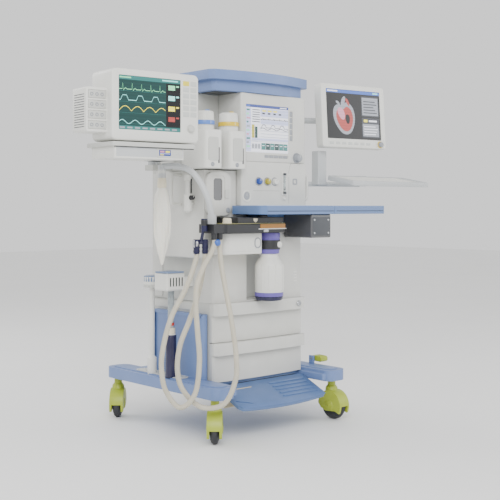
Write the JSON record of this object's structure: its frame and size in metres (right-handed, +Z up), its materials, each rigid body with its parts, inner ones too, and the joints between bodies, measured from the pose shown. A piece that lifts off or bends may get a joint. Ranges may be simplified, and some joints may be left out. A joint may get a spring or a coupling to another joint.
{
  "type": "anesthesia machine",
  "caption": "Wheeled anesthesia workstation: drawers, breathing system with absorber and hoses, vaporizers, ventilator, control screen, fold-down worktop and two screens on arms.",
  "frame": {"origin": "on the floor, under the middle of the machine's outline without its hoses", "axes": "+Z up, -Y towards the operator, +X to the operator's right"},
  "size_m": [1.8316, 0.8632, 1.4903],
  "materials": {
    "blue_paint": "semi-gloss moulded polyurethane",
    "blue_plastic": "satin moulded",
    "white_casing": "satin, fine texture",
    "pale_plastic": "satin moulded",
    "lime_plastic": "satin moulded",
    "black_rubber": "matte",
    "chrome": "polished",
    "screen_glass": "gloss, anti-glare",
    "grey_plastic": "satin moulded",
    "black_plastic": "satin moulded",
    "blue_knob": "satin",
    "yellow_knob": "satin",
    "dial_blue": "satin with blue band",
    "dial_yellow": "satin with yellow band",
    "cream_plastic": "satin",
    "purple_plastic": "gloss moulded",
    "blue_edge_laminate": "satin edge, pale top",
    "smoked_plastic": "gloss, smoked",
    "silicone": "matte, translucent",
    "beige_hose": "satin, corrugated",
    "grey_metal": "powder-coated"
  },
  "bodies": {
    "root": {"base_chassis": "blue_paint", "footrest": "blue_plastic", "cabinet": "white_casing", "front_panel": "white_casing", "upper_housing": "white_casing", "canopy": "blue_plastic", "control_panel": "white_casing", "screen_housing": "white_casing", "display": "screen_glass", "vaporizer_left": "pale_plastic", "vaporizer_right": "pale_plastic", "ventilator_pod": "white_casing", "breathing_block": "black_plastic", "ventilator_bowl": "pale_plastic", "absorber_adapter": "purple_plastic", "worktop": "blue_edge_laminate", "leaf_bracket": "smoked_plastic", "grab_handle_left": "pale_plastic", "grab_handle_right": "pale_plastic", "oxygen_flowmeter": "pale_plastic", "y_piece": "purple_plastic", "breathing_hose_a": "beige_hose", "breathing_hose_b": "beige_hose", "scavenging_receiver": "pale_plastic", "suction_jar": "grey_plastic"},
    "castor_fork_front_left": {"castor_fork_front_left": "lime_plastic"},
    "castor_wheel_front_left": {"castor_wheel_front_left": "black_rubber"},
    "castor_fork_rear_left": {"castor_fork_rear_left": "lime_plastic"},
    "castor_wheel_rear_left": {"castor_wheel_rear_left": "black_rubber"},
    "castor_fork_front_right": {"castor_fork_front_right": "lime_plastic"},
    "castor_wheel_front_right": {"castor_wheel_front_right": "black_rubber"},
    "castor_fork_rear_right": {"castor_fork_rear_right": "lime_plastic"},
    "castor_wheel_rear_right": {"castor_wheel_rear_right": "black_rubber"},
    "brake_pedal": {"brake_pedal": "lime_plastic"},
    "lower_drawer": {"lower_drawer": "white_casing"},
    "upper_drawer": {"upper_drawer": "white_casing"},
    "drawer_lock": {"drawer_lock": "chrome"},
    "rotary_knob": {"rotary_knob": "grey_plastic"},
    "flow_knob_left": {"flow_knob_left": "blue_knob"},
    "flow_knob_middle": {"flow_knob_middle": "yellow_knob"},
    "flow_knob_right": {"flow_knob_right": "black_plastic"},
    "aux_flow_knob": {"aux_flow_knob": "black_plastic"},
    "power_switch": {"power_switch": "black_plastic"},
    "vaporizer_dial_left": {"vaporizer_dial_left": "dial_blue"},
    "vaporizer_dial_right": {"vaporizer_dial_right": "dial_yellow"},
    "vaporizer_interlock": {"vaporizer_interlock": "grey_plastic"},
    "ventilator_door": {"ventilator_door": "pale_plastic"},
    "ventilator_piston": {"ventilator_piston": "black_rubber"},
    "apl_valve": {"apl_valve": "cream_plastic"},
    "absorber_canister": {"absorber_canister": "pale_plastic"},
    "worktop_leaf": {"worktop_leaf": "blue_edge_laminate"},
    "oxygen_flow_knob": {"oxygen_flow_knob": "black_plastic"},
    "bag_arm": {"bag_arm": "grey_plastic", "breathing_bag": "silicone"},
    "monitor_shelf": {"monitor_shelf": "grey_metal"},
    "patient_monitor": {"patient_monitor": "pale_plastic"},
    "screen_arm": {"screen_arm": "grey_metal"},
    "data_screen": {"data_screen": "pale_plastic"},
    "keyboard_arm": {"keyboard_arm": "grey_metal"},
    "keyboard_tray": {"keyboard_tray": "grey_plastic"}
  },
  "joints": [
    {"name": "castor_swivel_front_left", "type": "hinge", "parent": "root", "child": "castor_fork_front_left", "pos_m": [-0.3462, -0.31743, 0.1], "axis": [0, 0, 1], "continuous": true},
    {"name": "castor_roll_front_left", "type": "hinge", "parent": "castor_fork_front_left", "child": "castor_wheel_front_left", "pos_m": [-0.35423, -0.32634, 0.0625], "axis": [-0.7431, 0.6691, 0], "continuous": true},
    {"name": "castor_swivel_rear_left", "type": "hinge", "parent": "root", "child": "castor_fork_rear_left", "pos_m": [-0.3462, 0.35258, 0.1], "axis": [0, 0, 1], "continuous": true},
    {"name": "castor_roll_rear_left", "type": "hinge", "parent": "castor_fork_rear_left", "child": "castor_wheel_rear_left", "pos_m": [-0.35423, 0.34366, 0.0625], "axis": [-0.7431, 0.6691, 0], "continuous": true},
    {"name": "castor_swivel_front_right", "type": "hinge", "parent": "root", "child": "castor_fork_front_right", "pos_m": [0.32577, -0.31434, 0.1], "axis": [0, 0, 1], "continuous": true},
    {"name": "castor_roll_front_right", "type": "hinge", "parent": "castor_fork_front_right", "child": "castor_wheel_front_right", "pos_m": [0.32577, -0.32634, 0.0625], "axis": [-1, 0, 0], "continuous": true},
    {"name": "castor_swivel_rear_right", "type": "hinge", "parent": "root", "child": "castor_fork_rear_right", "pos_m": [0.3338, 0.35258, 0.1], "axis": [0, 0, 1], "continuous": true},
    {"name": "castor_roll_rear_right", "type": "hinge", "parent": "castor_fork_rear_right", "child": "castor_wheel_rear_right", "pos_m": [0.32577, 0.34366, 0.0625], "axis": [-0.7431, 0.6691, 0], "continuous": true},
    {"name": "brake_press", "type": "hinge", "parent": "root", "child": "brake_pedal", "pos_m": [0.35777, -0.18134, 0.245], "axis": [1, 0, 0], "range_deg": [0, 15]},
    {"name": "lower_drawer_slide", "type": "slide", "parent": "root", "child": "lower_drawer", "axis": [0, -1, 0], "range_m": [0, 0.28]},
    {"name": "upper_drawer_slide", "type": "slide", "parent": "root", "child": "upper_drawer", "axis": [0, -1, 0], "range_m": [0, 0.28]},
    {"name": "drawer_lock_turn", "type": "hinge", "parent": "upper_drawer", "child": "drawer_lock", "pos_m": [0.19077, -0.24403, 0.51025], "axis": [0, 1, 0], "range_deg": [0, 90]},
    {"name": "rotary_knob_turn", "type": "hinge", "parent": "root", "child": "rotary_knob", "pos_m": [0.18177, -0.25134, 1.143], "axis": [0, 1, 0], "continuous": true},
    {"name": "flow_knob_left_turn", "type": "hinge", "parent": "root", "child": "flow_knob_left", "pos_m": [-0.04323, -0.24134, 1.038], "axis": [0, 1, 0], "range_deg": [-150, 150]},
    {"name": "flow_knob_middle_turn", "type": "hinge", "parent": "root", "child": "flow_knob_middle", "pos_m": [0.00577, -0.24134, 1.038], "axis": [0, 1, 0], "range_deg": [-150, 150]},
    {"name": "flow_knob_right_turn", "type": "hinge", "parent": "root", "child": "flow_knob_right", "pos_m": [0.04977, -0.24134, 1.038], "axis": [0, 1, 0], "range_deg": [-150, 150]},
    {"name": "aux_flow_knob_turn", "type": "hinge", "parent": "root", "child": "aux_flow_knob", "pos_m": [0.10377, -0.24134, 0.968], "axis": [0, 1, 0], "range_deg": [0, 300]},
    {"name": "power_switch_press", "type": "slide", "parent": "root", "child": "power_switch", "axis": [0, 1, 0], "range_m": [0, 0.002], "stiffness_N_per_m": 400},
    {"name": "vaporizer_dial_left_turn", "type": "hinge", "parent": "root", "child": "vaporizer_dial_left", "pos_m": [-0.31623, -0.21384, 1.28], "axis": [0, 0, 1], "range_deg": [0, 270]},
    {"name": "vaporizer_dial_right_turn", "type": "hinge", "parent": "root", "child": "vaporizer_dial_right", "pos_m": [-0.18673, -0.21384, 1.28], "axis": [0, 0, 1], "range_deg": [0, 270]},
    {"name": "interlock_turn", "type": "hinge", "parent": "root", "child": "vaporizer_interlock", "pos_m": [-0.25148, -0.10884, 1.2], "axis": [0, 0, 1], "range_deg": [-12, 12]},
    {"name": "ventilator_door_swing", "type": "hinge", "parent": "root", "child": "ventilator_door", "pos_m": [-0.31223, -0.21164, 0.98], "axis": [0, 0, -1], "range_deg": [0, 75]},
    {"name": "ventilator_piston_stroke", "type": "slide", "parent": "root", "child": "ventilator_piston", "axis": [0, 0, 1], "range_m": [0, 0.045]},
    {"name": "apl_valve_turn", "type": "hinge", "parent": "root", "child": "apl_valve", "pos_m": [-0.27923, -0.31334, 0.87], "axis": [0, 0, 1], "range_deg": [0, 270]},
    {"name": "absorber_twist", "type": "hinge", "parent": "root", "child": "absorber_canister", "pos_m": [-0.02223, -0.28334, 0.65], "axis": [0, 0, 1], "range_deg": [-40, 0]},
    {"name": "worktop_leaf_fold", "type": "hinge", "parent": "root", "child": "worktop_leaf", "pos_m": [0.24227, -0.26634, 0.9], "axis": [0, 1, 0], "range_deg": [0, 90]},
    {"name": "oxygen_flow_knob_turn", "type": "hinge", "parent": "root", "child": "oxygen_flow_knob", "pos_m": [-0.33923, -0.16134, 0.968], "axis": [0, 1, 0], "range_deg": [0, 300]},
    {"name": "bag_arm_swing", "type": "hinge", "parent": "root", "child": "bag_arm", "pos_m": [-0.33623, -0.28734, 0.9], "axis": [0, 0, 1], "range_deg": [-5, 55]},
    {"name": "monitor_shelf_swing", "type": "hinge", "parent": "root", "child": "monitor_shelf", "pos_m": [-0.40923, -0.00134, 1.135], "axis": [0, 0, 1], "range_deg": [-40, 12]},
    {"name": "patient_monitor_swivel", "type": "hinge", "parent": "monitor_shelf", "child": "patient_monitor", "pos_m": [-0.63873, -0.25664, 1.17], "axis": [0, 0, 1], "range_deg": [-15, 15]},
    {"name": "screen_arm_swing", "type": "hinge", "parent": "root", "child": "screen_arm", "pos_m": [0.26477, -0.01134, 1.33], "axis": [0, 0, 1], "range_deg": [-15, 35]},
    {"name": "data_screen_swivel", "type": "hinge", "parent": "screen_arm", "child": "data_screen", "pos_m": [0.54077, -0.15684, 1.345], "axis": [0, 0, 1], "range_deg": [-15, 15]},
    {"name": "keyboard_arm_swing", "type": "hinge", "parent": "root", "child": "keyboard_arm", "pos_m": [0.26477, -0.06634, 1.035], "axis": [0, 0, 1], "range_deg": [-30, 20]},
    {"name": "keyboard_tray_tilt", "type": "hinge", "parent": "keyboard_arm", "child": "keyboard_tray", "pos_m": [0.65077, -0.22194, 1.063], "axis": [1, 0, 0], "range_deg": [-30, 15]}
  ]
}
